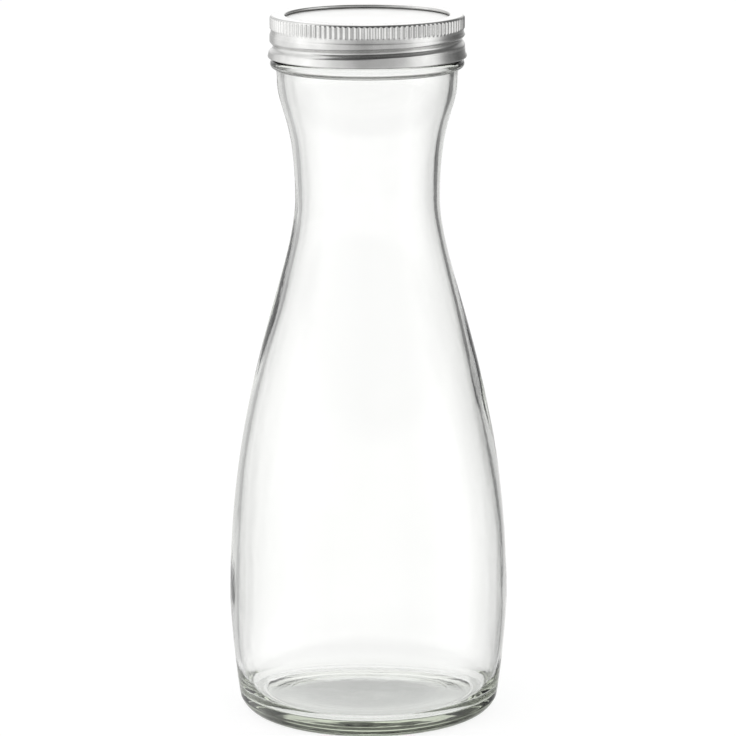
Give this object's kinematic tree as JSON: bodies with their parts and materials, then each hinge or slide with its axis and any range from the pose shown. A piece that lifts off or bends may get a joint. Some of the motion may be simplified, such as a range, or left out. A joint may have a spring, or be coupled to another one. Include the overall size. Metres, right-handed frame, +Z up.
{
  "type": "glass carafe",
  "caption": "Clear glass carafe with a waisted neck and a wide belly, closed by a flat lid disc under a knurled metal screw band.",
  "frame": {"origin": "centre of the foot ring, on the surface the carafe stands on", "axes": "+Z up along the carafe's axis; seen from -Y the lid's thread rises to the right"},
  "size_m": [0.1042, 0.1042, 0.2625],
  "materials": {
    "clear_glass": "clear pressed and blown glass",
    "band_metal": "satin tin-plated sheet",
    "disc_metal": "bright satin plated sheet",
    "seal_compound": "matt sealing compound"
  },
  "bodies": {
    "bottle": {"glass_bottle": "clear_glass"},
    "lid": {"lid_disc": "disc_metal", "sealing_ring": "seal_compound"},
    "band": {"screw_band": "band_metal"}
  },
  "joints": [
    {"name": "lid_lift", "type": "slide", "parent": "bottle", "child": "lid", "axis": [0, 0, 1], "range_m": [0, 0.01652]},
    {"name": "band_turn", "type": "hinge", "parent": "lid", "child": "band", "pos_m": [0, 0, 0.2546], "axis": [0, 0, 1], "range_deg": [0, 1170]}
  ],
  "couplings": [
    {"joint": "lid_lift", "follows": "band_turn", "m_per_rad": 0.0008085}
  ]
}
